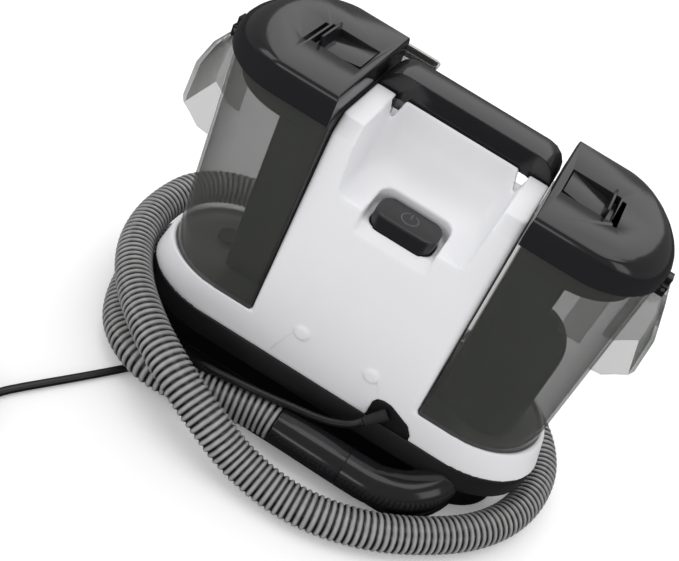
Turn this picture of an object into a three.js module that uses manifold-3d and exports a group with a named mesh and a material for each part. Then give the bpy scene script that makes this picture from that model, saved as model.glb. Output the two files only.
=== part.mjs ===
// A portable carpet cleaner: a white column between two lift-out tanks, on a black base, with a
// suction hose wound round it. Millimetres, +Z up, +X to the right seen from the front, front at -Y.
import * as THREE from 'three';
import { mergeVertices } from 'three/addons/utils/BufferGeometryUtils.js';
import Module from 'manifold-3d';

const wasm = await Module();
wasm.setup();

// ---- Driving dimensions ----
const gap = 0.3; // between pieces that touch
const wall = 3; // moulded shells
const tankWall = 2.5;

const endCentre = 120; // X where the round ends of base, tray and tanks are centred
const baseReach = 81; // from endCentre to the tip of the shoulder
const baseHalf = 63; // half depth of the shoulder
const channelHalf = 50; // recess below the shoulder, where the hose can lie
const channelReach = 64;
const deckReach = 82; // tray band, lower edge
const deckHalf = 58.5;
const deckTopReach = 71.5; // tray band, upper edge

const footHeight = 2;
const footPlateTop = 7;
const footPlateHalf = 94;
const footPlateCentre = endCentre - 20;
const footPlateReach = 60;
const shoulderLow = 36;
const shoulderTop = 59.7;
const deckLow = 60;
const deckTop = 94;
const traySeat = 88; // floor of the tank recess

const columnTop = 307;
const columnCrease = columnTop - 15.5; // where the front starts to lean back
const columnHalfTop = 79;
const columnHalfLow = 84;
const columnFront = -58.5;
const columnBack = 15; // rear edge of the column front
const chamferDepth = 9;
const noseBoss = 34.8; // round pads low on the front, either side of the middle
const noseBossHeight = 104;
const noseBossRadius = 6.6;

const tankTop = 304;
const tankReach = 67;
const tankHalfLow = 56;
const tankHalfTop = 66;
const tankGap = 0.9; // between tank and column
const tankEnd = endCentre + tankReach;
const gripHalf = 26;
const gripTop = tankTop - 14;

const lidShift = 6; // the lid's round end is centred this far outside the tank's
const lidCentre = endCentre + lidShift;
const lidLip = 3; // how far the lid's end hangs over the tank's
const lidReach = tankReach + lidLip - lidShift;
const lidHalf = tankHalfTop + 3.6;
const lidRim = tankTop - 3;
const lidTop = lidRim + 27;
const lidCrownReach = 38; // end of the flat top
const lidWall = 2.2;
const lidCeiling = lidRim + 16;
const collarDepth = 19; // how far the lid's plug reaches below the rim
const collarSwing = 4.2; // more room at its round end, for its swing about the hinge

const hingeX = tankEnd + 4.5;
const hingeZ = lidRim - 5;
const pinRadius = 1.6;
const knuckleHalf = 5;
const knuckleRadius = 3.6;

const scoopHalf = 60;
const scoopHalfLow = 56;
const scoopLip = columnTop - 60; // front edge of the hand scoop
const scoopTop = columnTop + 3;
const scoopRun = 74; // from its front to the lip behind
const scoopFront = columnFront - 3.5;
const scoopPower = 2.8; // 2 would be an ellipse
const scoopCorner = 9;
const scoopFillet = 16;
const scoopSteps = 20;

const pocketHalf = 32.5;
const pocketBack = columnFront + 39.5;
const pocketFloor = scoopLip - 12.5;
const buttonLength = 54.6;
const buttonDepth = 30.5;
const buttonTop = scoopLip + 0.2;
const buttonCentreY = columnFront + 22;
const buttonCorner = 10;
const buttonClear = 0.8;

const handleTop = columnTop + 17;
const handleBar = 22; // thickness of the bar
const handleFront = columnBack + 1.8;
const handleDepth = 33;
const handleCorner = 19;
const handleLeg = 13;
const handGap = 34; // from the rear cover's top to the underside of the bar
const rearDeck = handleTop - handleBar - handGap; // top of the rear cover
const rearBack = 62;
const ventHalf = 36;
const ventLow = 118;
const ventHigh = 148;

const hoseDiameter = 33;
const portRadius = 18.2;
const portY = -90.8;
const portZ = 26;
const cordDiameter = 7;

const endSteps = 30; // facets on a round end

// ---- Geometry helpers ----
function toSolid(geometry) {
  const bare = geometry.clone();
  bare.deleteAttribute('normal');
  bare.deleteAttribute('uv');
  const merged = mergeVertices(bare, 1e-4);
  return new wasm.Manifold(
    new wasm.Mesh({
      numProp: 3,
      vertProperties: new Float32Array(merged.attributes.position.array),
      triVerts: new Uint32Array(merged.index.array),
    }),
  );
}

function toGeometry(solid) {
  const mesh = solid.getMesh();
  const geometry = new THREE.BufferGeometry();
  geometry.setAttribute('position', new THREE.BufferAttribute(new Float32Array(mesh.vertProperties), 3));
  geometry.setIndex(new THREE.BufferAttribute(new Uint32Array(mesh.triVerts), 1));
  geometry.computeVertexNormals();
  return geometry;
}

function cut(body, ...tools) {
  return toGeometry(tools.reduce((solid, tool) => solid.subtract(toSolid(tool)), toSolid(body)));
}

function join(...bodies) {
  return toGeometry(bodies.map(toSolid).reduce((solid, next) => solid.add(next)));
}

// Skin over rings of the same number of points, lowest first, each convex and anticlockwise from above.
function loft(rings) {
  const count = rings[0].length;
  const positions = rings.flat().flatMap((p) => [p.x, p.y, p.z]);
  const faces = [];
  for (let k = 0; k < rings.length - 1; k += 1) {
    for (let i = 0; i < count; i += 1) {
      const j = (i + 1) % count;
      const [a, b] = [k * count + i, k * count + j];
      faces.push(a, b, b + count, a, b + count, a + count);
    }
  }
  const last = (rings.length - 1) * count;
  for (let i = 1; i < count - 1; i += 1) {
    faces.push(0, i + 1, i);
    faces.push(last, last + i, last + i + 1);
  }
  const geometry = new THREE.BufferGeometry();
  geometry.setAttribute('position', new THREE.Float32BufferAttribute(positions, 3));
  geometry.setIndex(faces);
  geometry.computeVertexNormals();
  return geometry;
}

function atHeight(outline, z) {
  return outline.map((p) => new THREE.Vector3(p.x, p.y, z));
}

// D shape: straight inner side, half-ellipse outer end.
function endOutline({ inner, half, reach, centre = endCentre, steps = endSteps }) {
  const points = [new THREE.Vector2(inner, -half)];
  for (let k = 0; k <= steps; k += 1) {
    const turn = -Math.PI / 2 + (Math.PI * k) / steps;
    points.push(new THREE.Vector2(centre + reach * Math.cos(turn), half * Math.sin(turn)));
  }
  points.push(new THREE.Vector2(inner, half));
  return points;
}

// Long oval with half-ellipse ends.
function ovalOutline({ half, reach, centre = endCentre, steps = endSteps }) {
  const right = endOutline({ inner: 0, half, reach, centre, steps }).slice(1, -1);
  const left = right.map((p) => new THREE.Vector2(-p.x, -p.y));
  return [...right, ...left];
}

// Rectangle with rounded corners, given by its sides.
function roundedOutline(x0, x1, y0, y1, radius, steps = 4) {
  const points = [];
  const corners = [
    [x1 - radius, y0 + radius, -90],
    [x1 - radius, y1 - radius, 0],
    [x0 + radius, y1 - radius, 90],
    [x0 + radius, y0 + radius, 180],
  ];
  for (const [x, y, start] of corners) {
    for (let k = 0; k <= steps; k += 1) {
      const turn = THREE.MathUtils.degToRad(start + (90 * k) / steps);
      points.push(new THREE.Vector2(x + radius * Math.cos(turn), y + radius * Math.sin(turn)));
    }
  }
  return points;
}

function block(x0, x1, y0, y1, z0, z1) {
  const geometry = new THREE.BoxGeometry(x1 - x0, y1 - y0, z1 - z0);
  return geometry.translate((x0 + x1) / 2, (y0 + y1) / 2, (z0 + z1) / 2);
}

function roundedBlock(x0, x1, y0, y1, z0, z1, radius) {
  const outline = roundedOutline(x0, x1, y0, y1, radius);
  return loft([atHeight(outline, z0), atHeight(outline, z1)]);
}

// Upright cylinder or cone.
function post(x, y, z0, z1, radius, topRadius = radius, sides = 20) {
  const geometry = new THREE.CylinderGeometry(topRadius, radius, z1 - z0, sides);
  return geometry.rotateX(Math.PI / 2).translate(x, y, (z0 + z1) / 2);
}

// Cylinder or cone lying along X.
function bar(x0, x1, y, z, radius, endRadius = radius, sides = 24) {
  const geometry = new THREE.CylinderGeometry(endRadius, radius, x1 - x0, sides);
  return geometry.rotateZ(-Math.PI / 2).translate((x0 + x1) / 2, y, z);
}

// Cylinder lying along Y.
function axle(x, y0, y1, z, radius, sides = 16) {
  return new THREE.CylinderGeometry(radius, radius, y1 - y0, sides).translate(x, (y0 + y1) / 2, z);
}

// Ring or cup turned about an upright axis; the profile is [radius, height] pairs.
function turned(profile, x, y, sides = 32) {
  const points = profile.map(([r, z]) => new THREE.Vector2(r, z));
  return new THREE.LatheGeometry(points, sides).rotateX(Math.PI / 2).translate(x, y, 0);
}

// Plate drawn in the YZ plane and drawn out along X.
function acrossX(points, x0, x1) {
  const shape = new THREE.Shape(points.map(([y, z]) => new THREE.Vector2(y, z)));
  const geometry = new THREE.ExtrudeGeometry(shape, { depth: x1 - x0, bevelEnabled: false });
  geometry.applyMatrix4(new THREE.Matrix4().set(0, 0, 1, x0, 1, 0, 0, 0, 0, 1, 0, 0, 0, 0, 0, 1));
  return geometry;
}

// Plate drawn in the XZ plane and drawn out along Y.
function acrossY(points, y0, y1) {
  const shape = new THREE.Shape(points.map(([x, z]) => new THREE.Vector2(x, z)));
  const geometry = new THREE.ExtrudeGeometry(shape, { depth: y1 - y0, bevelEnabled: false });
  return geometry.rotateX(Math.PI / 2).translate(0, y1, 0);
}

// Solid or hollow tube along a smooth curve through the points.
function tube(points, radius, steps, sides = 12, bore = 0) {
  const path = new THREE.CatmullRomCurve3(points.map((p) => new THREE.Vector3(...p)), false, 'centripetal');
  const circle = (r) => {
    const outline = [];
    for (let k = 0; k < sides; k += 1) {
      const turn = (2 * Math.PI * k) / sides;
      outline.push(new THREE.Vector2(r * Math.cos(turn), r * Math.sin(turn)));
    }
    return outline;
  };
  const section = new THREE.Shape(circle(radius));
  if (bore > 0) section.holes.push(new THREE.Path(circle(bore)));
  return new THREE.ExtrudeGeometry(section, { steps, extrudePath: path, bevelEnabled: false });
}

function mirrored(geometry) {
  const copy = (geometry.index ? geometry : mergeVertices(geometry)).clone();
  copy.scale(-1, 1, 1);
  const index = copy.index.array;
  for (let i = 0; i < index.length; i += 3) [index[i], index[i + 1]] = [index[i + 1], index[i]];
  copy.computeVertexNormals();
  return copy;
}

function onSide(side, geometry) {
  return side === 'left' ? mirrored(geometry) : geometry;
}

// ---- Materials ----
function finish(color, roughness, metalness = 0, opacity = 1) {
  const transparent = opacity < 1;
  return new THREE.MeshStandardMaterial({ color, roughness, metalness, opacity, transparent });
}

const whiteShell = finish(0xe6e5e8, 0.35);
const blackShell = finish(0x1f1f21, 0.4);
const blackGloss = finish(0x2a2a2c, 0.18);
const smokyTank = finish(0x4a4b4a, 0.1, 0, 0.45);
const clearPlastic = finish(0xc9cbc7, 0.08, 0, 0.4);
const softRubber = finish(0x202020, 0.85);
const steel = finish(0xb8bbbe, 0.3, 0.9);
const hoseGrey = finish(0xb5b5b5, 0.35);
const cordBlack = finish(0x161616, 0.5);
const boardGreen = finish(0x2f5a3c, 0.6);
const bristle = finish(0x2b2b2b, 0.8);

const machine = new THREE.Group();
const cords = new THREE.Group();

function piece(name, geometry, material, group = machine) {
  const mesh = new THREE.Mesh(geometry, material);
  mesh.name = name;
  group.add(mesh);
  return mesh;
}

// ---- Shared sections ----
function columnHalfAt(z) {
  const share = (z - deckTop) / (columnCrease - deckTop);
  return THREE.MathUtils.lerp(columnHalfLow, columnHalfTop, share);
}

function tankHalfAt(z) {
  return THREE.MathUtils.lerp(tankHalfLow, tankHalfTop, (z - traySeat) / (tankTop - traySeat));
}

function tankRing(z, inset) {
  const inner = columnHalfAt(z) + tankGap + inset;
  const outline = endOutline({ inner, half: tankHalfAt(z) - inset, reach: tankReach - inset });
  return atHeight(outline, z);
}

// Flat at the back, with the front corners rounded.
function columnOutline(half, front, back, radius = 5, steps = 4) {
  const rounded = roundedOutline(-half, half, front, back, radius, steps);
  const square = [new THREE.Vector2(half, back), new THREE.Vector2(-half, back)];
  const right = rounded.slice(0, steps + 1);
  const left = rounded.slice(3 * (steps + 1));
  return [...right, ...square, ...left];
}

// ---- Base ----
function channelForm(grow, z0, z1) {
  const outline = ovalOutline({ half: channelHalf + grow, reach: channelReach + grow });
  return loft([atHeight(outline, z0), atHeight(outline, z1)]);
}

function shoulderForm(grow, z0, z1) {
  return loft([
    atHeight(ovalOutline({ half: baseHalf - 3 + grow, reach: baseReach - 3 + grow }), z0),
    atHeight(ovalOutline({ half: baseHalf + grow, reach: baseReach + grow }), z0 + 4),
    atHeight(ovalOutline({ half: deckHalf + grow, reach: deckReach + grow }), z1),
  ]);
}

function baseShell() {
  const plateOutline = ovalOutline({ half: footPlateHalf, centre: footPlateCentre, reach: footPlateReach });
  const edge = ovalOutline({ half: footPlateHalf - 2, centre: footPlateCentre, reach: footPlateReach - 2 });
  const plate = loft([
    atHeight(plateOutline, footHeight),
    atHeight(plateOutline, footPlateTop - 1.5),
    atHeight(edge, footPlateTop),
  ]);
  const outside = join(
    plate,
    channelForm(0, footHeight, shoulderLow + 2),
    shoulderForm(0, shoulderLow, shoulderTop),
  );
  const inside = join(
    channelForm(-wall, footHeight + wall, shoulderLow + wall + 1),
    shoulderForm(-wall, shoulderLow + wall, shoulderTop + 1),
  );
  return cut(outside, inside);
}
piece('base_shell', baseShell(), blackShell);

const feet = [[-1, -1], [1, -1], [-1, 1], [1, 1]];
feet.forEach(([alongX, alongY], k) => {
  const [x, y] = [alongX * (endCentre - 10), alongY * (footPlateHalf - 28)];
  piece(`foot_pad_${k + 1}`, post(x, y, 0, footHeight - gap, 9), softRubber);
});

// ---- White body: tray band and column front in one moulding ----
const glandOutline = [
  [46.6, deckLow],
  [46.6, 79],
  [49.5, 84],
  [55, 86],
  [62, 85.6],
  [83, 75],
  [89, 66],
  [89, deckLow],
];
const glandFront = -deckHalf + 0.6;

// Hollow for the fingers: a curved floor that steepens to the back wall, with wide fillets at its sides.
function scoopVoid(grow) {
  const rings = [];
  for (let k = 0; k <= scoopSteps; k += 1) {
    const turn = (Math.PI / 2) * (k / scoopSteps);
    const rise = 1 - Math.cos(turn) ** (2 / scoopPower);
    const back = scoopFront + (scoopRun + grow) * Math.sin(turn) ** (2 / scoopPower) + 0.5;
    const z = scoopLip - grow + (scoopTop - scoopLip + grow) * rise;
    const share = THREE.MathUtils.clamp((z - scoopLip) / (scoopTop - scoopLip), 0, 1);
    const short = Math.max(scoopCorner - (z - scoopLip + grow), 0);
    const tuck = scoopCorner - Math.sqrt(scoopCorner ** 2 - Math.min(short, scoopCorner) ** 2);
    const half = THREE.MathUtils.lerp(scoopHalfLow, scoopHalf, share) + grow - tuck;
    const fillet = Math.min(scoopFillet, (back - scoopFront + 10) / 2 - 0.2);
    rings.push(atHeight(roundedOutline(-half, half, scoopFront - 10, back, fillet, 6), z));
  }
  const last = rings[rings.length - 1];
  rings.push(last.map((p) => new THREE.Vector3(p.x, p.y, columnTop + 20)));
  return loft(rings);
}

function pocketVoid(grow) {
  const half = pocketHalf + grow;
  const back = pocketBack + grow;
  const deep = roundedBlock(-half, half, scoopFront - 10, back, pocketFloor - grow, scoopLip + 13, 9);
  const runOut = acrossX(
    [
      [columnFront + 6 + grow, pocketFloor - grow + 0.01],
      [columnFront + 6 + grow, pocketFloor + 1],
      [scoopFront - 10, pocketFloor + 1],
      [scoopFront - 10, pocketFloor - 18.5 - grow],
      [columnFront, pocketFloor - 10 - grow],
    ],
    -half,
    half,
  );
  return join(deep, runOut);
}

const buttonFront = buttonCentreY - buttonDepth / 2;
const buttonBack = buttonCentreY + buttonDepth / 2;
function buttonForm(z0, z1, grow = 0) {
  const half = buttonLength / 2 + grow;
  return roundedBlock(-half, half, buttonFront - grow, buttonBack + grow, z0, z1, buttonCorner + grow);
}

const shaftHalf = columnHalfTop - wall;
function bodyShell() {
  const band = loft([
    atHeight(ovalOutline({ half: deckHalf, reach: deckReach }), deckLow),
    atHeight(ovalOutline({ half: deckHalf, reach: deckTopReach + 2.5 }), deckTop - 5),
    atHeight(ovalOutline({ half: deckHalf, reach: deckTopReach }), deckTop),
  ]);
  const shaftOutline = roundedOutline(-shaftHalf, shaftHalf, columnFront + wall, deckHalf - wall - 2, 3);
  const under = loft([
    atHeight(ovalOutline({ half: deckHalf - wall, reach: deckReach - wall }), deckLow - 1),
    atHeight(ovalOutline({ half: deckHalf - wall, reach: deckTopReach }), traySeat - wall),
  ]);
  const crease = columnHalfAt(columnCrease);
  const column = loft([
    atHeight(columnOutline(columnHalfAt(deckTop - 4), columnFront, columnBack), deckTop - 4),
    atHeight(columnOutline(crease, columnFront, columnBack), columnCrease),
    atHeight(columnOutline(crease - 0.6, columnFront + chamferDepth, columnBack), columnTop),
  ]);
  const shaft = loft([atHeight(shaftOutline, deckLow - 1), atHeight(shaftOutline, deckTop + 1)]);
  const room = (half, front, z) =>
    atHeight(roundedOutline(-half + wall, half - wall, front + wall, columnBack + 5, 3), z);
  const inside = loft([
    room(columnHalfLow, columnFront, deckTop),
    room(crease, columnFront, columnCrease),
    room(crease, columnFront + chamferDepth, columnTop - wall),
  ]);
  const hollow = cut(inside, scoopVoid(wall), pocketVoid(wall));
  const seat = loft(
    [traySeat, deckTop + 1].map((z) =>
      atHeight(
        endOutline({
          inner: columnHalfAt(traySeat) + tankGap - 0.6,
          half: tankHalfLow + 0.6,
          reach: tankReach + 0.6,
        }),
        z,
      ),
    ),
  );
  const notch = acrossY(
    [
      [scoopHalf - 11, columnTop + 8],
      [scoopHalf - 8, columnTop - 4],
      [scoopHalf - 3.8, columnTop - 20],
      [scoopHalf - 0.4, columnTop - 5],
      [scoopHalf + 3.5, columnTop + 8],
    ],
    columnBack - 24,
    columnBack + 3,
  );
  const bosses = [-noseBoss, noseBoss].map((x) =>
    axle(x, columnFront - 2.2, columnFront + 1, noseBossHeight, noseBossRadius, 20),
  );
  const glandHole = glandOutline.map(([x, z]) => [x, z === deckLow ? deckLow - 2 : z]);
  const outside = join(band, column, ...bosses);
  return cut(
    outside,
    hollow,
    under,
    shaft,
    scoopVoid(0),
    pocketVoid(0),
    buttonForm(pocketFloor - 20, pocketFloor + 4, buttonClear),
    seat,
    mirrored(seat),
    notch,
    mirrored(notch),
    acrossY(glandHole, -deckHalf - 3, -deckHalf + wall + 1),
  );
}
piece('body_shell', bodyShell(), whiteShell);

// ---- Rear cover, with its grille ----
function rearCover() {
  const outline = (half, inset) => {
    const rounded = roundedOutline(-half, half, columnBack - 20, rearBack - inset, 12, 5);
    return rounded.map((p) => new THREE.Vector2(p.x, Math.max(p.y, columnBack + gap - (inset > 0 ? 2 : 0))));
  };
  const rings = (inset, z0, z1) => [z0, z1].map((z) => atHeight(outline(columnHalfAt(z) - inset, inset), z));
  const shell = loft(rings(0, deckTop + gap, rearDeck));
  const room = loft(rings(wall, deckTop - 1, rearDeck - wall));
  const vent = block(-ventHalf, ventHalf, rearBack - wall - 1, rearBack + 1, ventLow, ventHigh);
  return cut(shell, room, vent);
}
piece('rear_cover', rearCover(), whiteShell);

function exhaustGrille() {
  const slots = [];
  for (let k = 0; k < 8; k += 1) {
    const x = (k - 3.5) * (ventHalf / 4);
    slots.push(block(x - 1.7, x + 1.7, rearBack - wall - 2, rearBack + 2, ventLow + 3, ventHigh - 3));
  }
  const half = ventHalf - gap;
  return cut(block(-half, half, rearBack - wall, rearBack - gap, ventLow + gap, ventHigh - gap), ...slots);
}
piece('exhaust_grille', exhaustGrille(), blackShell);

// ---- Handle ----
const handleHalf = columnHalfTop - 0.4;
function carryHandle() {
  const back = handleFront + handleDepth;
  const outer = roundedOutline(-handleHalf, handleHalf, rearDeck + gap - 40, handleTop, handleCorner);
  const arch = outer.map((p) => [p.x, Math.max(p.y, rearDeck + gap)]);
  const underside = handleTop - handleBar;
  const inner = roundedOutline(-handleHalf + handleLeg, handleHalf - handleLeg, rearDeck - 30, underside, 8);
  const solid = acrossY(arch, handleFront, back);
  return cut(solid, acrossY(inner.map((p) => [p.x, p.y]), handleFront - 1, back + 1));
}
piece('carry_handle', carryHandle(), blackGloss);

// ---- Button, switch and electronics ----
function powerButton() {
  const crown = roundedOutline(
    -buttonLength / 2 + 1.2,
    buttonLength / 2 - 1.2,
    buttonFront + 1.2,
    buttonBack - 1.2,
    buttonCorner - 1.2,
    4,
  );
  const rim = roundedOutline(-buttonLength / 2, buttonLength / 2, buttonFront, buttonBack, buttonCorner, 4);
  const rings = [atHeight(rim, pocketFloor - 6), atHeight(rim, buttonTop - 1.2), atHeight(crown, buttonTop)];
  return join(loft(rings), post(0, buttonCentreY, pocketFloor - 10, pocketFloor - 5, 4));
}
piece('power_button', powerButton(), blackGloss);
piece(
  'switch_block',
  block(-14, 14, columnFront + 6.5, columnFront + 30.5, pocketFloor - 32, pocketFloor - 13.3),
  blackShell,
);
piece('circuit_board', block(-28, 28, columnFront + 8.5, columnFront + 10.5, 120, 185), boardGreen);

// ---- Suction motor and fan, in the column ----
const fanY = 5;
const motorLow = 91;
const motorRadius = 32;
const cradleCup = [
  [0, motorLow - 4],
  [motorRadius + 6, motorLow - 4],
  [motorRadius + 6, motorLow + 4],
  [motorRadius + 1, motorLow + 4],
  [motorRadius + 1, motorLow],
  [0, motorLow],
];
piece('motor_cradle', turned(cradleCup, 0, fanY), softRubber);
const motorCan = post(0, fanY, motorLow + gap, 145, motorRadius, motorRadius, 28);
piece('suction_motor', join(motorCan, post(0, fanY, 144, 150, 9)), steel);
const fanCase = [
  [8, 155],
  [42, 155],
  [42, 184],
  [16, 190],
  [16, 187.5],
  [39.5, 181.5],
  [39.5, 157.5],
  [8, 157.5],
  [8, 155],
];
piece('fan_housing', turned(fanCase, 0, fanY), blackShell);
function fanImpeller() {
  const blades = [];
  for (let k = 0; k < 8; k += 1) {
    const blade = block(9, 34, -0.9, 0.9, 161, 171).rotateZ((Math.PI * k) / 4);
    blades.push(blade.translate(0, fanY, 0));
  }
  return join(post(0, fanY, 159, 162, 35, 35, 32), post(0, fanY, 150.5, 176, 6), ...blades);
}
piece('fan_impeller', fanImpeller(), steel);
const ductEntryZ = 236;
const ductRoute = [
  [columnHalfTop - 9, 25, ductEntryZ],
  [columnHalfTop - 29, 24, ductEntryZ],
  [20, 14, 228],
  [4, fanY, 212],
  [0, fanY, 196],
  [0, fanY, 190.5],
];
piece('dirty_air_duct', tube(ductRoute, 14, 16, 14, 11.5), blackShell);
piece('water_pump', join(bar(-75, -25, 20, 62, 15), block(-70, -30, 8, 32, 42, 60)), blackShell);

// ---- Tanks, made for the right side and mirrored for the left ----
const valveX = endCentre + 26;
const valveY = 10;

function tankBody(side) {
  const floor = traySeat + gap;
  const outer = loft([tankRing(floor, 3), tankRing(floor + 4, 0), tankRing(tankTop, 0)]);
  const inner = loft([
    tankRing(floor + tankWall + 0.5, tankWall + 3),
    tankRing(floor + tankWall + 4, tankWall),
    tankRing(tankTop + 1, tankWall),
  ]);
  const outlet = side === 'left' ? post(valveX, valveY, floor - 1, floor + 5, 6.6) : null;
  return outlet ? cut(outer, inner, outlet) : cut(outer, inner);
}

// Outside of the tank with a gap round it, for what fits against the tank's round end.
function tankForm(z0, z1) {
  const inner = endCentre - 30;
  const ring = (z) => endOutline({ inner, half: tankHalfAt(z) + gap, reach: tankReach + gap });
  return loft([atHeight(ring(z0), z0), atHeight(ring(z1), z1)]);
}

// Clear grip on the tank's end, open below for the fingers.
function tankGrip() {
  const skin = tankWall;
  const face = tankEnd + 24; // furthest out
  const brow = face - 3; // where the face starts to lean back
  const root = tankEnd - 9; // inside the tank wall, cut to fit it
  const profile = [
    [root, gripTop - 84],
    [tankEnd + 5, gripTop - 82],
    [tankEnd + 14, gripTop - 74],
    [face - 2, gripTop - 68],
    [face, gripTop - 62],
    [brow, gripTop - 28],
    [tankEnd + 12, gripTop - 4],
    [tankEnd + 8, gripTop],
    [root, gripTop],
  ];
  const hollow = [
    [root - 2, gripTop - 140],
    [face - skin, gripTop - 140],
    [face - skin, gripTop - 62],
    [brow - skin - gap, gripTop - 29],
    [tankEnd + 10.5, gripTop - 7],
    [tankEnd + 7, gripTop - skin],
    [root - 2, gripTop - skin],
  ];
  const slots = [-8, 0, 8].map((y) => block(tankEnd + 10, face, y - 1.3, y + 1.3, gripTop - 26, gripTop - 9));
  return cut(
    acrossY(profile, -gripHalf, gripHalf),
    acrossY(hollow, -gripHalf + skin, gripHalf - skin),
    tankForm(gripTop - 140, gripTop + 10),
    ...slots,
  );
}

// ---- Lids ----
function lidRing(z, half, reach, inner) {
  return atHeight(endOutline({ inner, half, reach, centre: lidCentre }), z);
}

const latchPocket = {
  x0: columnHalfTop + 8,
  x1: columnHalfTop + 50.5,
  y0: -20.5,
  y1: 19.5,
  floor: lidTop - 8,
};

function lidShell() {
  const inner = columnHalfTop + tankGap;
  const shares = [0, 0.3, 0.5, 0.66, 0.8, 0.9, 0.96, 1];
  const edgeDrop = [0, 0, 0, 0, 0.3, 1, 1.9, 3.4];
  const rings = shares.map((share, k) => {
    const reach = lidCrownReach + (lidReach - lidCrownReach) * Math.sqrt(1 - share ** 2.2);
    const z = THREE.MathUtils.lerp(lidRim, lidTop, share);
    return lidRing(z, lidHalf - edgeDrop[k], reach, inner + edgeDrop[k] / 3);
  });
  const hollow = loft([
    lidRing(lidRim - 1, lidHalf - lidWall, lidReach - lidWall, inner + lidWall),
    lidRing(tankTop + 3.5, lidHalf - lidWall, lidReach - lidWall - 0.2, inner + lidWall),
    lidRing(lidCeiling, lidHalf - lidWall - 0.8, lidReach - 6.5, inner + lidWall),
  ]);
  const knuckle = axle(hingeX, -knuckleHalf, knuckleHalf, hingeZ, knuckleRadius, 20);
  const neck = block(hingeX - knuckleRadius, hingeX + 3, -knuckleHalf, knuckleHalf, hingeZ, lidRim + 3);
  const pocket = latchPocket;
  return cut(
    join(loft(rings), knuckle, neck),
    hollow,
    block(inner - 1, inner + lidWall + 1, -lidHalf + lidWall, lidHalf - lidWall, lidRim - 1, tankTop + 2.9),
    axle(hingeX, -knuckleHalf - 1, knuckleHalf + 1, hingeZ, pinRadius + 0.4),
    block(pocket.x0, pocket.x1, pocket.y0, pocket.y1, pocket.floor, lidTop + 1),
    block(pocket.x1 + 2, pocket.x1 + 5, pocket.y0 - 4, pocket.y1 - 4, pocket.floor + 2, lidTop + 1),
  );
}

function lidCollar() {
  const ring = (inset, z) => {
    const inner = columnHalfAt(tankTop) + tankGap + inset;
    const reach = tankReach - inset - collarSwing;
    return atHeight(endOutline({ inner, half: tankHalfAt(lidRim) - inset, reach }), z);
  };
  const out = tankWall + 2.2;
  const low = lidRim - collarDepth;
  const high = lidCeiling - gap;
  return cut(
    loft([ring(out + 1, low), ring(out, low + 4), ring(out, high)]),
    loft([ring(out + 3, low - 1), ring(out + 3, high + 1)]),
  );
}

function tankSeal() {
  const z = tankTop + gap;
  const outside = loft([tankRing(z, 0.2), tankRing(z + 2, 0.2)]);
  return cut(outside, loft([tankRing(z - 1, tankWall - gap), tankRing(z + 3, tankWall - gap)]));
}

function lidLatch() {
  const low = latchPocket.floor + gap;
  const profile = [
    [latchPocket.x0 + 1, low],
    [latchPocket.x0 + 38, low],
    [latchPocket.x0 + 37.5, lidTop + 5],
    [latchPocket.x0 + 35.5, lidTop + 5],
    [latchPocket.x0 + 34, low + 1.8],
    [latchPocket.x0 + 1, lidTop - 0.8],
  ];
  return acrossY(profile, latchPocket.y0 + 5, latchPocket.y1 - 0.6);
}

function hingeBracket() {
  const slotHalf = knuckleHalf + 0.5;
  return cut(
    block(tankEnd + 0.2, hingeX + 2.6, -12, 12, gripTop + gap, hingeZ + 3.5),
    tankForm(lidRim - 20, lidRim + 20),
    block(tankEnd + 0.4, hingeX + 4, -slotHalf, slotHalf, hingeZ - 4.3, hingeZ + 5),
    axle(hingeX, -13, 13, hingeZ, pinRadius + gap),
  );
}

for (const side of ['left', 'right']) {
  piece(`${side}_tank`, onSide(side, tankBody(side)), smokyTank);
  piece(`${side}_tank_grip`, onSide(side, tankGrip()), clearPlastic);
  piece(`${side}_tank_seal`, onSide(side, tankSeal()), softRubber);
  piece(`${side}_lid`, onSide(side, lidShell()), blackGloss);
  piece(`${side}_lid_collar`, onSide(side, lidCollar()), blackShell);
  piece(`${side}_lid_latch`, onSide(side, lidLatch()), blackShell);
  piece(`${side}_hinge_bracket`, onSide(side, hingeBracket()), blackShell);
  piece(`${side}_hinge_pin`, onSide(side, axle(hingeX, -11.5, 11.5, hingeZ, pinRadius)), steel);
}

// Clean water leaves the left tank through a sprung valve in its floor.
const tankFloorTop = traySeat + gap + tankWall + 0.5;
piece(
  'outlet_valve',
  join(
    post(-valveX, valveY, traySeat + 1, tankFloorTop + 2, 6.2),
    post(-valveX, valveY, tankFloorTop + gap, tankFloorTop + 3, 10),
  ),
  softRubber,
);
const feedRoute = [
  [-valveX, valveY, traySeat - wall - 2],
  [-valveX + 5, valveY, 72],
  [-116, 15, 63],
  [-90, 20, 62],
  [-75.4, 20, 62],
];
piece('feed_tube', tube(feedRoute, 4, 16, 8), clearPlastic);

// A dark core fills the column side of each tank. In the left tank it holds the filter over the outlet.
// In the right tank dirty water comes up through it and over the dome, and the float rises on its post.
const coreEnd = endCentre + 10;
const coreHalf = 28;
const coreLow = tankFloorTop + gap;
const coreTop = lidRim - 33;
const domeX = endCentre + 11;
const domeRadius = 33;
const domeShoulder = 176;
const domeTop = 213;
const floatX = endCentre - 10;
const floatY = 40;
const floatPost = 4.6;
const floatLow = 205; // where the float rests

function tankCore(top) {
  const outline = (z, inset) => {
    const inner = columnHalfAt(z) + tankGap + tankWall + 1 + inset;
    return atHeight(roundedOutline(inner, coreEnd - inset, -coreHalf + inset, coreHalf - 6 - inset, 4), z);
  };
  return loft([outline(coreLow, 3), outline(coreLow + 5, 0), outline(top - 3, 0), outline(top, 2)]);
}

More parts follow.
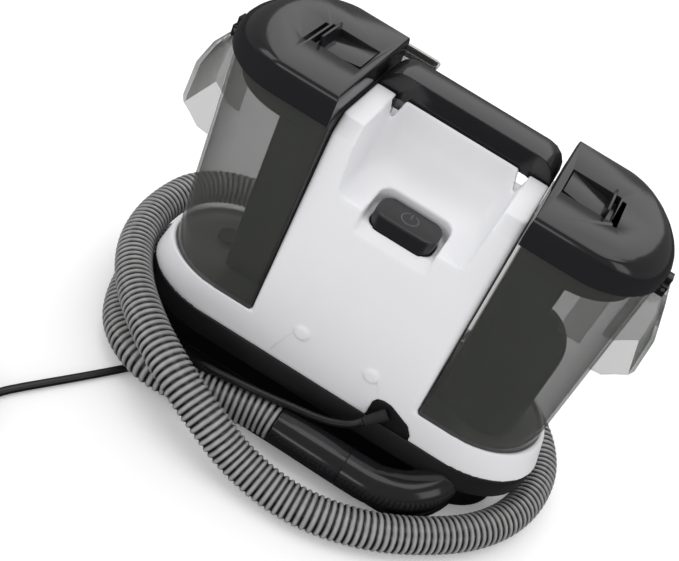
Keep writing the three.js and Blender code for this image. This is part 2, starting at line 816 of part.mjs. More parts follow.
function intakeCore() {
  const profile = [[0, coreLow]];
  const steps = 8;
  for (let k = 0; k <= steps; k += 1) {
    const turn = (Math.PI / 2) * (k / steps);
    profile.push([domeRadius * Math.cos(turn), domeShoulder + (domeTop - domeShoulder) * Math.sin(turn)]);
  }
  profile.splice(1, 0, [domeRadius + 1.5, coreLow]);
  profile[profile.length - 1][0] = 0;
  const stem = post(floatX, floatY, coreLow, coreTop - 6, floatPost);
  const arm = block(floatX - 4, floatX + 4, 10, floatY, coreTop - 12, coreTop - 7);
  return join(tankCore(coreTop), turned(profile.concat([[0, coreLow]]), domeX, 0, 36), stem, arm);
}
piece('left_tank_core', mirrored(tankCore(coreTop)), blackShell);
piece('intake_core', intakeCore(), blackShell);
const floatIn = floatPost + 1;
const floatOut = 11;
const floatTop = floatLow + 14;
const floatSection = [
  [floatIn, floatLow],
  [floatOut, floatLow],
  [floatOut, floatTop],
  [floatIn, floatTop],
  [floatIn, floatLow],
];
piece('float_ring', turned(floatSection, floatX, floatY, 24), whiteShell);

// A clear plate hangs from the right lid, in front of the core.
piece('splash_baffle', block(tankEnd - 45, tankEnd - 25, -33, -31, 228, lidCeiling - gap), clearPlastic);

// ---- Hose port ----
const cuffX0 = -15;
const cuffX1 = 54;
const elbowRoute = [
  [136, -40, 34],
  [131, -60, 32.5],
  [110, -81, 29],
  [84, portY + 0.6, portZ + 0.5],
  [cuffX1 + 12, portY, portZ],
  [cuffX1 + gap, portY, portZ],
];
function hoseElbow() {
  return cut(
    tube(elbowRoute, portRadius, 16, 20),
    channelForm(gap, 0, shoulderLow + 2),
    shoulderForm(gap, shoulderLow - gap, shoulderTop),
  );
}
piece('hose_elbow', hoseElbow(), blackShell);
piece('hose_cuff', bar(cuffX0, cuffX1, portY, portZ, portRadius - 1, portRadius, 24), blackShell);

// ---- Hand tool, parked behind the left tank ----
const toolX = -78;
const toolY = 92;
const toolTail = 140;
const toolWaist = 166;
const toolNeck = 258;
const nozzleTop = 307;
const cradleY = lidHalf + 1.4;
piece('tool_collar', post(toolX, toolY, toolTail, toolWaist, 18.5, 17, 24), blackShell);
piece('tool_body', post(toolX, toolY, toolWaist + gap, toolNeck, 15.5, 14, 24), blackShell);
const triggerY = toolY + 16;
piece(
  'tool_trigger',
  acrossX(
    [
      [triggerY - 1.4, 246],
      [triggerY + 5, 244],
      [triggerY + 8, 214],
      [triggerY + 6, 200],
      [triggerY + 3.4, 200],
      [triggerY + 3.4, 214],
      [triggerY + 0.2, 238],
    ],
    toolX - 6,
    toolX + 6,
  ),
  blackGloss,
);
function nozzle() {
  const ring = (halfX, halfY, radius, z) =>
    atHeight(roundedOutline(toolX - halfX, toolX + halfX, toolY - halfY, toolY + halfY, radius, 4), z);
  const outer = loft([
    ring(14, 14, 13.9, toolNeck + gap),
    ring(16, 13, 12.9, toolNeck + 14),
    ring(25, 8, 6, nozzleTop),
  ]);
  const inner = loft([ring(13, 10, 9.9, toolNeck + 12), ring(22.8, 5.8, 4, nozzleTop + 1)]);
  return cut(outer, inner);
}
piece('tool_nozzle', nozzle(), clearPlastic);
const brushY = toolY + 10.3;
const brushTop = nozzleTop - 4;
piece('tool_brush', block(toolX - 21, toolX + 21, brushY, brushY + 2.3, brushTop - 10, brushTop), bristle);
piece(
  'tool_cradle',
  join(
    block(toolX - 24, -30, cradleY, cradleY + 3.5, 186, 228),
    block(-60, -30, rearBack + gap, cradleY + 1, 186, 228),
    block(toolX - 22, toolX - 18, cradleY + 2, toolY + 4, 190, 224),
    block(toolX + 18, toolX + 22, cradleY + 2, toolY + 4, 190, 224),
  ),
  whiteShell,
);

// ---- Fasteners ----
for (const [k, x] of [-1, 1].entries()) {
  const legX = x * (columnHalfTop - wall - 5.5);
  const legY = handleFront + handleDepth / 2;
  const under = rearDeck - wall;
  piece(`handle_screw_${k + 1}`, post(legX, legY, under - 4, under - gap, 4.5), steel);
  piece(`base_screw_${k + 1}`, post((x * endCentre) / 2, 0, 0.6, footHeight - gap, 4), steel);
  piece(`cover_screw_${k + 1}`, axle(x * 55, rearBack + gap, rearBack + 2.5, 110, 4), steel);
}

// ---- Cord outlet ----
const glandShrunk = glandOutline.map(([x, z]) => {
  const middle = 68;
  return [middle + (x - middle) * 0.975, Math.max(z - 0.7, deckLow + gap)];
});
piece('cord_gland', acrossY(glandShrunk, glandFront, -deckHalf + 7), blackShell);

// The relief bends out of the plate towards the left and down.
const cordRadius = cordDiameter / 2;
const reliefStart = [63, glandFront - 1, 76];
const reliefEnd = [49, -68.5, 63];
function cordRelief() {
  const from = new THREE.Vector3(...reliefStart);
  const along = new THREE.Vector3(...reliefEnd).sub(from);
  const cone = new THREE.CylinderGeometry(cordRadius + 0.6, cordRadius + 2.6, along.length(), 14);
  const upright = new THREE.Vector3(0, 1, 0);
  cone.applyQuaternion(new THREE.Quaternion().setFromUnitVectors(upright, along.clone().normalize()));
  cone.translate(...from.clone().addScaledVector(along, 0.5).toArray());
  return cut(cone, block(30, 90, glandFront - gap, 0, 40, 100));
}
piece('cord_relief', cordRelief(), softRubber, cords);

// ---- Free cord and hose ----
const floorCord = cordRadius + 0.2;
const hoseRadius = hoseDiameter / 2;
const floorHose = hoseRadius + 0.5;

const cordRoute = [
  [48.7, -68.9, 62.7],
  [40, -73, 55.5],
  [25, -76.5, 49.5],
  [7, -79.5, 46.6],
  [-12, -83, 46.2],
  [-32, -87.5, 46.4],
  [-55, -91, 46],
  [-78, -92.5, 44],
  [-95, -89.5, 38.5],
  [-109, -85.5, 28.5],
  [-121, -83, 17],
  [-132, -85, 7.6],
  [-145, -97.5, 4.4],
  [-160, -119.5, floorCord],
  [-178, -146, floorCord],
  [-194, -169, floorCord],
  [-204, -183.5, floorCord],
  [-210.5, -194, floorCord],
  [-215.3, -205, floorCord],
  [-218.2, -216, floorCord],
  [-219, -226, floorCord],
];
const coilX = -269.5;
const coilY = -252.6;
const coilTurnRadius = 40;
const coilWide = 4;
const coilHigh = 5;

const hoseRoute = [
  [cuffX0 - gap, portY, portZ],
  [cuffX0 - 12, portY - 0.1, portZ],
  [-38, -92, 25.6],
  [-60, -96, 24.4],
  [-86, -102, 23.2],
  [-112, -107.5, 22.6],
  [-137, -107.5, 24.6],
  [-161, -98, 24],
  [-184, -77, 20],
  [-201, -46, 17.4],
  [-211, -11, floorHose],
  [-213, 24, floorHose],
  [-206, 60, floorHose],
  [-188, 95, floorHose],
  [-152, 128, floorHose],
  [-100, 148, floorHose],
  [-40, 155, floorHose],
  [30, 154, floorHose],
  [96, 143, floorHose],
  [152, 120, floorHose],
  [195, 88, floorHose],
  [215, 50, floorHose],
  [217, 10, floorHose],
  [206, -30, floorHose],
  [183, -66, floorHose],
  [147, -99, floorHose],
  [104, -126, floorHose],
  [58, -142, floorHose],
  [18, -146, 18],
  [-22, -144, 25],
  [-65, -138, 42],
  [-106, -126, 55],
  [-146, -103, 59],
  [-188, -64, 56],
  [-215, -22, 52.5],
  [-228, 22, 51],
  [-229.0, 62.0, 51.0],
  [-223.8, 89.0, 51.0],
  [-208.8, 112.0, 51.5],
  [-186.3, 127.8, 52.0],
  [-162.0, 133.8, 52.0],
  [-142.9, 132.3, 52.7],
  [-125.2, 127.8, 56.0],
  [-109.6, 121.2, 62.2],
  [-96.6, 113.6, 71.7],
  [-86.6, 105.6, 84.7],
  [-80.2, 98.1, 101.7],
  [-78.0, 92.0, 123.0],
  [toolX, toolY, toolTail - 6],
  [toolX, toolY, toolTail - gap],
];

piece('suction_hose', tube(hoseRoute, hoseRadius, 120, 14), hoseGrey, cords);
piece('mains_cord', tube(cordRoute, cordRadius, 44, 8), cordBlack, cords);

const coilIn = coilTurnRadius - (coilWide * cordDiameter) / 2;
const coilOut = coilTurnRadius + (coilWide * cordDiameter) / 2;
const coilTop = coilHigh * cordDiameter;
const coilSection = [
  [coilIn, 0],
  [coilOut, 0],
  [coilOut, coilTop],
  [coilIn, coilTop],
  [coilIn, 0],
];
piece('mains_cord_coil', turned(coilSection, coilX, coilY, 36), cordBlack, cords);

// Two-pin plug beside the coil, where the last turn runs off.
function mainsPlug() {
  const turn = coilTurnRadius + cordDiameter * 1.5;
  const start = 30;
  const x = coilX - turn;
  const y = coilY + start;
  const z = 10;
  const neck = new THREE.CylinderGeometry(cordRadius + 0.6, 8, 24, 14).rotateX(Math.PI);
  const body = roundedBlock(x - 13, x + 13, y + 22, y + 58, 0.3, 2 * z, 6);
  const pins = [-9.5, 9.5].map((dx) => axle(x + dx, y + 56, y + 77, z, 2.4, 12));
  return join(neck.translate(x, y + 12, z), body, ...pins);
}
piece('mains_plug', mainsPlug(), cordBlack, cords);

// Stand the machine over the middle of its own footprint.
const footprint = new THREE.Box3().setFromObject(machine);
const middle = footprint.getCenter(new THREE.Vector3());
const carpetCleaner = new THREE.Group();
carpetCleaner.add(machine, cords);
carpetCleaner.position.set(-middle.x, -middle.y, 0);

export default carpetCleaner;
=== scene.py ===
# %% [markdown]
# # A portable carpet cleaner
# The machine stands on the floor with a white column between two smoke-tinted water tanks. A ribbed
# suction hose is wound round its base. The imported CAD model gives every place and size, and this
# notebook gives each piece its finished shape and its material. All sizes are in millimetres until
# they are multiplied by MM, because Blender works in metres.

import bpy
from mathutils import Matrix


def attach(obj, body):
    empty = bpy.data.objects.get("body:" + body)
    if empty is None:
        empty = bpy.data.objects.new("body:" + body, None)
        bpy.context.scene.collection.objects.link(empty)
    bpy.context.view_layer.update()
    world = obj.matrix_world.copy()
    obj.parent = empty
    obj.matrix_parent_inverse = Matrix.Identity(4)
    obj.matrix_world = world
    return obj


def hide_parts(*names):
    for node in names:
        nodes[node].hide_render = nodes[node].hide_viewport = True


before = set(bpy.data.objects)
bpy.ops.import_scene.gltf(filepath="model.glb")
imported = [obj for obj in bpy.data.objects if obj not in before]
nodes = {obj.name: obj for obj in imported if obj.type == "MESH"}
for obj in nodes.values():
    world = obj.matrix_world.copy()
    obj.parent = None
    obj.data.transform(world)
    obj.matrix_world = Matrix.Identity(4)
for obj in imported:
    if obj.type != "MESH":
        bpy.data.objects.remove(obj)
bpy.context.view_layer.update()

import math

import bpy
import numpy as np
from mathutils import Matrix, Vector

MM = 0.001

# %% [markdown]
# ## Camera
# The machine is seen from the front and above, and the camera is rolled, so the machine leans in the
# frame. A camera could be aimed with a Track To constraint, but that can't roll it, so its three axes
# are worked out from its azimuth, elevation and roll. The lens shift slides the frame sideways
# without turning the camera, which keeps the perspective.

# %% Camera
AZIMUTH = 0.055
ELEVATION = 0.660
ROLL = 0.012 + math.radians(29)
CAMERA_PLACE = Vector((70.69, -648.0, 677.23)) * MM
SENSOR_WIDTH = 36.0
FOCAL_LENGTH = 51.19
SHIFT_ACROSS = -0.1327
SHIFT_UP = 0.0033
NEAREST_SEEN = 0.01

back = Vector(
    (
        math.sin(AZIMUTH) * math.cos(ELEVATION),
        -math.cos(AZIMUTH) * math.cos(ELEVATION),
        math.sin(ELEVATION),
    )
)
level_right = Vector((math.cos(AZIMUTH), math.sin(AZIMUTH), 0))
level_up = back.cross(level_right)
right = math.cos(ROLL) * level_right + math.sin(ROLL) * level_up
up = -math.sin(ROLL) * level_right + math.cos(ROLL) * level_up

bpy.ops.object.camera_add()
camera = bpy.context.object
camera.name = "studio_camera"
turn = Matrix((right, up, back)).transposed().to_4x4()
camera.matrix_world = Matrix.Translation(CAMERA_PLACE) @ turn
camera.data.sensor_width = SENSOR_WIDTH
camera.data.lens = FOCAL_LENGTH
camera.data.shift_x = SHIFT_ACROSS
camera.data.shift_y = SHIFT_UP
camera.data.clip_start = NEAREST_SEEN
bpy.context.scene.camera = camera
bpy.context.scene.view_settings.view_transform = "Standard"
print("camera at", [round(c, 3) for c in camera.location])

# %% [markdown]
# ## Helpers for materials
# Colours are written as the hex values a maker reads off a swatch. Shader nodes work with linear light,
# so one function turns a hex value into linear red, green and blue. Another adds one node with its
# settings, and links whatever sockets it is given.


# %% Colours and shader nodes
def hex_colour(code):
    """Linear RGBA of an sRGB hex colour such as 'EDEDEF'."""
    channels = [int(code[i : i + 2], 16) / 255 for i in (0, 2, 4)]
    linear = [c / 12.92 if c <= 0.04045 else ((c + 0.055) / 1.055) ** 2.4 for c in channels]
    return (*linear, 1.0)


def node(material, kind, sockets=None, **settings):
    """Add one shader node. A socket takes a value or another node's output."""
    made = material.node_tree.nodes.new(kind)
    for key, value in settings.items():
        setattr(made, key, value)
    for key, value in (sockets or {}).items():
        if isinstance(value, bpy.types.NodeSocket):
            material.node_tree.links.new(value, made.inputs[key])
        else:
            made.inputs[key].default_value = value
    return made


def start_material(name, **surface):
    """A material, its shader, and the Object coordinates its patterns read."""
    material = bpy.data.materials.new(name)
    material.use_nodes = True
    shader = material.node_tree.nodes["Principled BSDF"]
    for key, value in surface.items():
        shader.inputs[key.replace("_", " ")].default_value = value
    place = node(material, "ShaderNodeTexCoord").outputs["Object"]
    return material, shader, place


def link(material, output, shader, key):
    material.node_tree.links.new(output, shader.inputs[key])


def per_mm(size):
    """Noise scale that gives a pattern of this size in millimetres."""
    return 1 / (size * MM)


# %% [markdown]
# ## Moulded plastics
# ABS and polypropylene come out of a polished or a spark-eroded mould. A polished mould leaves a faint
# waviness, some centimetres long, that bends the reflections. A spark-eroded one leaves a fine matt
# grain. Both are a noise bump, and handling leaves cloudy differences in colour and roughness.
# Real grain is about a tenth of a millimetre across, which is too fine to show from this far, so it
# is drawn five to nine times coarser. The cores inside the tanks have none, because a sharp pattern
# seen through a tinted wall only turns to speckle.


# %% A moulded plastic, polished or grained
CLOUD_MM = 60
WAVE_MM = 18
WAVE_RELIEF = 2 * MM
GRAIN_RELIEF = 0.2 * MM


def moulded(name, colour, tint, roughness, grain_mm, grain_depth, wave_depth=0.02, **surface):
    """Plastic whose colour drifts from colour to tint, with grain and a slow waviness."""
    material, shader, place = start_material(name, **surface)
    cloud = node(
        material,
        "ShaderNodeTexNoise",
        {"Vector": place, "Scale": per_mm(CLOUD_MM), "Detail": 3.0},
    ).outputs["Fac"]
    shade = node(
        material,
        "ShaderNodeMix",
        {"A": hex_colour(colour), "B": hex_colour(tint), "Factor": cloud},
        data_type="RGBA",
    )
    link(material, shade.outputs["Result"], shader, "Base Color")
    rough = node(
        material,
        "ShaderNodeMapRange",
        {"Value": cloud, "To Min": roughness * 0.88, "To Max": roughness * 1.12},
    ).outputs["Result"]
    link(material, rough, shader, "Roughness")
    wave = node(
        material,
        "ShaderNodeTexNoise",
        {"Vector": place, "Scale": per_mm(WAVE_MM), "Detail": 1.0},
    ).outputs["Fac"]
    grain = node(
        material,
        "ShaderNodeTexNoise",
        {"Vector": place, "Scale": per_mm(grain_mm), "Detail": 2.0},
    ).outputs["Fac"]
    slow = node(
        material,
        "ShaderNodeBump",
        {"Height": wave, "Strength": wave_depth, "Distance": WAVE_RELIEF},
    ).outputs["Normal"]
    fine = node(
        material,
        "ShaderNodeBump",
        {"Height": grain, "Strength": grain_depth, "Distance": GRAIN_RELIEF, "Normal": slow},
    ).outputs["Normal"]
    link(material, fine, shader, "Normal")
    return material


white_abs = moulded("white_moulded_ABS", "EDEDEF", "E9E9EC", 0.34, 0.9, 0.05, IOR=1.54)
black_abs = moulded("black_grained_ABS", "131315", "18181A", 0.42, 0.7, 0.2, IOR=1.54)
gloss_abs = moulded("black_polished_ABS", "1D1D1F", "212123", 0.16, 0.8, 0.02, IOR=1.54)
button_abs = moulded("black_satin_button_ABS", "1A1A1C", "1E1E20", 0.3, 0.6, 0.08, IOR=1.54)
core_pp = moulded("black_polypropylene", "101011", "141415", 0.5, 6.0, 0.0, wave_depth=0.0, IOR=1.49)
rubber = moulded("black_moulded_rubber", "1C1C1C", "242424", 0.75, 0.5, 0.35, IOR=1.52)
cord_pvc = moulded("black_PVC_cord_sheath", "101011", "161617", 0.32, 0.6, 0.06, IOR=1.53)
ink = moulded("grey_pad_printed_ink", "5A5A5D", "626265", 0.45, 0.5, 0.05, IOR=1.5)
print("moulded plastics ready")

# %% [markdown]
# ## Clear plastics
# The tanks are smoke-tinted copolyester and the grips clear polycarbonate. Transmission would bend the
# light, but so thin a wall lets it go nearly straight through, so Alpha stands for the tint instead:
# the more opaque the wall, the darker what lies behind it. Layer Weight makes it denser where it is
# seen edge-on, as a real wall is. The polished face still gives sharp reflections.


# %% A clear plastic wall
FLOW_MM = 30
FLOW_STRETCH = (1.0, 1.0, 0.25)


def clear_plastic(name, colour, tint, alpha, edge_alpha, roughness, ior):
    """Thin tinted wall that looks denser where it is seen edge-on."""
    material, shader, place = start_material(name, IOR=ior)
    streak = node(
        material,
        "ShaderNodeMapping",
        {"Vector": place, "Scale": FLOW_STRETCH},
    ).outputs["Vector"]
    flow = node(
        material,
        "ShaderNodeTexNoise",
        {"Vector": streak, "Scale": per_mm(FLOW_MM), "Detail": 2.0},
    ).outputs["Fac"]
    shade = node(
        material,
        "ShaderNodeMix",
        {"A": hex_colour(colour), "B": hex_colour(tint), "Factor": flow},
        data_type="RGBA",
    )
    link(material, shade.outputs["Result"], shader, "Base Color")
    rough = node(
        material,
        "ShaderNodeMapRange",
        {"Value": flow, "To Min": roughness * 0.7, "To Max": roughness * 1.3},
    ).outputs["Result"]
    link(material, rough, shader, "Roughness")
    swell = node(
        material,
        "ShaderNodeBump",
        {"Height": flow, "Strength": 0.08, "Distance": WAVE_RELIEF},
    ).outputs["Normal"]
    link(material, swell, shader, "Normal")
    slant = node(material, "ShaderNodeLayerWeight", {"Blend": 0.35}).outputs["Facing"]
    tinted = node(
        material,
        "ShaderNodeMapRange",
        {"Value": slant, "From Min": 0.25, "To Min": alpha, "To Max": edge_alpha},
    ).outputs["Result"]
    link(material, tinted, shader, "Alpha")
    return material


smoke_pet = clear_plastic("smoke_tinted_copolyester", "4A4C49", "565854", 0.36, 0.62, 0.05, 1.57)
clear_pc = clear_plastic("clear_polycarbonate", "5C5F5B", "6A6D69", 0.32, 0.85, 0.06, 1.58)
print("clear plastics ready")

# %% [markdown]
# ## Hose, metal, board and bristle
# The hose is extruded soft polyethylene, a little translucent and shiny. Its ribs are pale, and their
# troughs are painted dark as shade, so the colour follows an attribute that the hose's mesh holds,
# called crest.

# %% Hose polyethylene
MOTTLE_MM = 9
SHADE_BELOW, LIT_ABOVE = 0.25, 0.95

hose_pe, shader, place = start_material(
    "grey_flexible_polyethylene",
    IOR=1.51,
    Coat_Weight=0.6,
    Coat_Roughness=0.15,
    Subsurface_Weight=0.1,
    Subsurface_Scale=2 * MM,
)
mottle = node(
    hose_pe, "ShaderNodeTexNoise", {"Vector": place, "Scale": per_mm(MOTTLE_MM), "Detail": 4.0}
).outputs["Fac"]
pale = node(
    hose_pe,
    "ShaderNodeMix",
    {"A": hex_colour("868686"), "B": hex_colour("B2B2B1"), "Factor": mottle},
    data_type="RGBA",
).outputs["Result"]
# Painted shade: where the crest attribute is low, in the troughs between the ribs, the colour turns
# near black.
depth = node(hose_pe, "ShaderNodeAttribute", attribute_name="crest").outputs["Fac"]
rise = node(
    hose_pe,
    "ShaderNodeMapRange",
    {"Value": depth, "From Min": SHADE_BELOW, "From Max": LIT_ABOVE},
).outputs["Result"]
ribs_with_painted_shade = node(
    hose_pe,
    "ShaderNodeMix",
    {"A": hex_colour("0B0B0B"), "B": pale, "Factor": rise},
    data_type="RGBA",
).outputs["Result"]
link(hose_pe, ribs_with_painted_shade, shader, "Base Color")
rough = node(
    hose_pe, "ShaderNodeMapRange", {"Value": mottle, "To Min": 0.2, "To Max": 0.42}
).outputs["Result"]
link(hose_pe, rough, shader, "Roughness")
print("hose:", hose_pe.name)

# %% [markdown]
# Plated steel keeps the fine marks of turning and pressing, and nylon bristles lie side by side. Both
# are a noise squeezed along one axis into lines. The lines are drawn about five times too coarse, or
# they would not show.


# %% Metal, circuit board and bristle
def lined(name, colour, roughness, stretch, line_mm, metallic):
    """A surface of fine lines; stretch draws the noise out along one axis."""
    material, shader, place = start_material(name, Metallic=metallic)
    shader.inputs["Base Color"].default_value = hex_colour(colour)
    drawn = node(
        material, "ShaderNodeMapping", {"Vector": place, "Scale": stretch}
    ).outputs["Vector"]
    marks = node(
        material,
        "ShaderNodeTexNoise",
        {"Vector": drawn, "Scale": per_mm(line_mm), "Detail": 3.0},
    ).outputs["Fac"]
    rough = node(
        material,
        "ShaderNodeMapRange",
        {"Value": marks, "To Min": roughness * 0.7, "To Max": roughness * 1.4},
    ).outputs["Result"]
    link(material, rough, shader, "Roughness")
    bump = node(
        material, "ShaderNodeBump", {"Height": marks, "Strength": 0.1, "Distance": 0.1 * MM}
    ).outputs["Normal"]
    link(material, bump, shader, "Normal")
    return material


steel = lined("zinc_plated_steel", "C3C5C8", 0.3, (1.0, 1.0, 0.2), 0.8, 1.0)
board = moulded("green_solder_mask", "1E5B3A", "2A6A46", 0.35, 1.5, 0.2, IOR=1.5)
bristle = lined("black_nylon_bristle", "2A2A2A", 0.6, (1.0, 1.0, 0.05), 0.5, 0.0)
print("steel, board and bristle ready")

# %% [markdown]
# ## Cords first
# A cord is a fixed length of something flexible. The mains cord leaves its gland at the front, drops
# over the hose cuff, runs under the hose and away along the floor to the left, where the spare length
# is wound in a round coil beside its plug. A Bezier curve with a bevel would make the same tube, but
# its length is hard to know. Here one smooth line runs through the points of the CAD route, its
# length is summed, and a skin is laid over circles set along it.


# %% Smooth curve through a route
FINE_STEPS = 40


def along(points, spacing):
    """Points spaced evenly, in metres, on a centripetal Catmull-Rom curve through the route."""
    route = [np.array(p, float) for p in points]
    route = [2 * route[0] - route[1], *route, 2 * route[-1] - route[-2]]
    fine = []
    for a, b, c, d in zip(route, route[1:], route[2:], route[3:]):
        t1 = np.linalg.norm(b - a) ** 0.5
        t2 = t1 + np.linalg.norm(c - b) ** 0.5
        t3 = t2 + np.linalg.norm(d - c) ** 0.5
        for t in np.linspace(t1, t2, FINE_STEPS, endpoint=False):
            p = [(t1 - t) / t1 * a + t / t1 * b]
            p.append((t2 - t) / (t2 - t1) * b + (t - t1) / (t2 - t1) * c)
            p.append((t3 - t) / (t3 - t2) * c + (t - t2) / (t3 - t2) * d)
            q = (t2 - t) / t2 * p[0] + t / t2 * p[1]
            r = (t3 - t) / (t3 - t1) * p[1] + (t - t1) / (t3 - t1) * p[2]
            fine.append((t2 - t) / (t2 - t1) * q + (t - t1) / (t2 - t1) * r)
    fine.append(route[-2])
    fine = np.array(fine)
    reach = np.concatenate([[0], np.cumsum(np.linalg.norm(np.diff(fine, axis=0), axis=1))])
    count = max(2, round(reach[-1] / spacing))
    even = np.linspace(0, reach[-1], count + 1)
    return np.stack([np.interp(even, reach, fine[:, k]) for k in range(3)], axis=1), reach[-1]


ASLANT = (0.3, 0.2, 0.9)


def sweep(name, points, radii, sides):
    """Closed skin over circles of these radii, set square to the line of points."""
    heading = np.gradient(points, axis=0)
    heading /= np.linalg.norm(heading, axis=1)[:, None]
    side = np.cross(heading[0], ASLANT)
    verts = []
    for point, ahead, radius in zip(points, heading, radii):
        side = side - ahead * side.dot(ahead)
        side /= np.linalg.norm(side)
        other = np.cross(ahead, side)
        for k in range(sides):
            angle = 2 * math.pi * k / sides
            verts.append(point + radius * (math.cos(angle) * side + math.sin(angle) * other))
    faces = []
    for i in range(len(points) - 1):
        for k in range(sides):
            a, b = i * sides + k, i * sides + (k + 1) % sides
            faces.append((a, b, b + sides, a + sides))
    faces.append(tuple(reversed(range(sides))))
    faces.append(tuple(range((len(points) - 1) * sides, len(points) * sides)))
    mesh = bpy.data.meshes.new(name)
    mesh.from_pydata([tuple(v) for v in verts], [], faces)
    mesh.shade_smooth()
    piece = bpy.data.objects.new(name, mesh)
    bpy.context.scene.collection.objects.link(piece)
    return piece


# %% Route of the mains cord, in millimetres
CORD_DIAMETER = 7.0
SHIFT_Y = -3.5
floor_cord = CORD_DIAMETER / 2 + 0.2
cord_route = [
    (48.7, -68.9, 62.7),
    (40, -73, 55.5),
    (25, -76.5, 49.5),
    (7, -79.5, 46.6),
    (-12, -83, 46.2),
    (-32, -87.5, 46.4),
    (-55, -91, 46),
    (-78, -92.5, 44),
    (-95, -89.5, 38.5),
    (-109, -85.5, 28.5),
    (-121, -83, 17),
    (-132, -85, 7.6),
    (-145, -97.5, 4.4),
    (-160, -119.5, floor_cord),
    (-178, -146, floor_cord),
    (-194, -169, floor_cord),
    (-204, -183.5, floor_cord),
    (-210.5, -194, floor_cord),
    (-215.3, -205, floor_cord),
    (-218.2, -216, floor_cord),
    (-219, -226, floor_cord),
]
coil_x, coil_y = -269.5, -252.6
COIL_RADIUS = 40.0
print("cord route:", len(cord_route), "points before the coil")

# %% The coil's turns
# The layer on the floor winds inwards over four rings. The next three wind out, in and out again over
# the inner three rings. Two turns lie on top, and the last come down the outer ring to the plug.
rings = [COIL_RADIUS + CORD_DIAMETER * k for k in (1.5, 0.5, -0.5, -1.5)]
outer, second, third, inner = rings
turns = [(outer, 0), (second, 0), (third, 0), (inner, 0)]
turns += [(inner, 1), (third, 1), (second, 1)]
turns += [(second, 2), (third, 2), (inner, 2)]
turns += [(inner, 3), (third, 3), (second, 3), (second, 4)]
turns += [(outer, 4), (outer, 3), (outer, 2), (outer, 1)]
STEP_SHARE = 0.14
STOPS = 36


def turn_points():
    """Clockwise from above, starting on the coil's right side; each turn ends by moving to the next."""
    points = []
    for (radius, layer), (next_radius, next_layer) in zip(turns, turns[1:] + turns[-1:]):
        for k in range(STOPS):
            share = k / STOPS
            blend = max(0.0, (share - 1 + STEP_SHARE) / STEP_SHARE)
            blend = blend * blend * (3 - 2 * blend)
            r = radius + (next_radius - radius) * blend
            z = floor_cord + CORD_DIAMETER * (layer + (next_layer - layer) * blend)
            angle = -2 * math.pi * share
            points.append((coil_x + r * math.cos(angle), coil_y + r * math.sin(angle), z))
    return points


coil_points = turn_points()
HALF_TURN = STOPS // 2
last_z = floor_cord + CORD_DIAMETER
for k in range(1, HALF_TURN + 1):
    angle = -math.pi * k / HALF_TURN
    coil_points.append(
        (coil_x + outer * math.cos(angle), coil_y + outer * math.sin(angle), last_z)
    )
PLUG_START = 30.0
coil_points += [
    (coil_x - outer, coil_y + 10, last_z - 0.2),
    (coil_x - outer, coil_y + 20, last_z - 0.6),
    (coil_x - outer, coil_y + PLUG_START + 2, 10.0),
]
whole_cord = [
    (x * MM, (y + SHIFT_Y) * MM, z * MM) for x, y, z in cord_route + coil_points
]
CORD_STEP = 3 * MM
cord_line, cord_length = along(whole_cord, CORD_STEP)
print("mains cord length", round(cord_length, 3), "turns", len(turns))

# %% Mains cord
CORD_SIDES = 12
cord_radii = np.full(len(cord_line), CORD_DIAMETER / 2 * MM)
mains_cord = sweep("mains_cord_run", cord_line, cord_radii, CORD_SIDES)
mains_cord.data.materials.append(cord_pvc)
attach(mains_cord, "machine")
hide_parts("mains_cord", "mains_cord_coil")

# %% [markdown]
# ## Suction hose
# A suction hose is a ribbed tube. Each rib is a round crest 6 mm from the next, with a narrow trough
# between that lets it bend. A bump could paint the ribs, but the outline would stay smooth. So the skin
# is swept along the route, and its radius rises and falls with each rib. The same profile repeats the
# whole way, so it is given once.

# %% Route of the hose, in millimetres
HOSE_DIAMETER = 33.0
floor_hose = HOSE_DIAMETER / 2 + 0.5
hose_route = [
    (-15.3, -90.8, 26),
    (-27, -90.9, 26),
    (-38, -92, 25.6),
    (-60, -96, 24.4),
    (-86, -102, 23.2),
    (-112, -107.5, 22.6),
    (-137, -107.5, 24.6),
    (-161, -98, 24),
    (-184, -77, 20),
    (-201, -46, 17.4),
    (-211, -11, floor_hose),
    (-213, 24, floor_hose),
    (-206, 60, floor_hose),
    (-188, 95, floor_hose),
    (-152, 128, floor_hose),
    (-100, 148, floor_hose),
    (-40, 155, floor_hose),
    (30, 154, floor_hose),
    (96, 143, floor_hose),
    (152, 120, floor_hose),
    (195, 88, floor_hose),
    (215, 50, floor_hose),
    (217, 10, floor_hose),
    (206, -30, floor_hose),
    (183, -66, floor_hose),
    (147, -99, floor_hose),
    (104, -126, floor_hose),
    (58, -142, floor_hose),
    (18, -146, 18),
    (-22, -144, 25),
    (-65, -138, 42),
    (-106, -126, 55),
    (-146, -103, 59),
    (-188, -64, 56),
    (-215, -22, 52.5),
    (-228, 22, 51),
    (-229, 62, 51),
    (-223.8, 89, 51),
    (-208.8, 112, 51.5),
    (-186.3, 127.8, 52),
    (-162, 133.8, 52),
    (-142.9, 132.3, 52.7),
    (-125.2, 127.8, 56),
    (-109.6, 121.2, 62.2),
    (-96.6, 113.6, 71.7),
    (-86.6, 105.6, 84.7),
    (-80.2, 98.1, 101.7),
    (-78, 92, 123),
    (-78, 92, 134),
    (-78, 92, 139.7),
]
whole_hose = [(x * MM, (y + SHIFT_Y) * MM, z * MM) for x, y, z in hose_route]
RIB_PITCH = 6.0
RIB_STOPS = 8
hose_line, hose_length = along(whole_hose, RIB_PITCH / RIB_STOPS * MM)
print("hose length", round(hose_length, 3), "ribs", len(hose_line) // RIB_STOPS)

